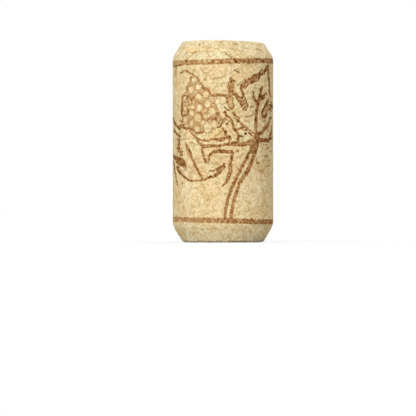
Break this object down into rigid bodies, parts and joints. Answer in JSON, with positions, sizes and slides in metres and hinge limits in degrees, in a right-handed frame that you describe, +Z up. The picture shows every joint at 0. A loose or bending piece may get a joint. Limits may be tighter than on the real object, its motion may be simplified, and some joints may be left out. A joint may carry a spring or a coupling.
{
  "type": "wine cork",
  "caption": "Straight wine cork with a rounded chamfer at both ends, pressed into a bottle neck as a stopper.",
  "frame": {"origin": "middle of the lower end face", "axes": "+Z up the cork's axis; -Y is the side with the middle of the printed motif; the solid is the same all round"},
  "size_m": [0.022, 0.022, 0.044],
  "materials": {
    "cork": "matte pressed cork granules, with a brown printed vine between two rings on the side"
  },
  "bodies": {
    "root": {"cork": "cork"}
  },
  "joints": []
}
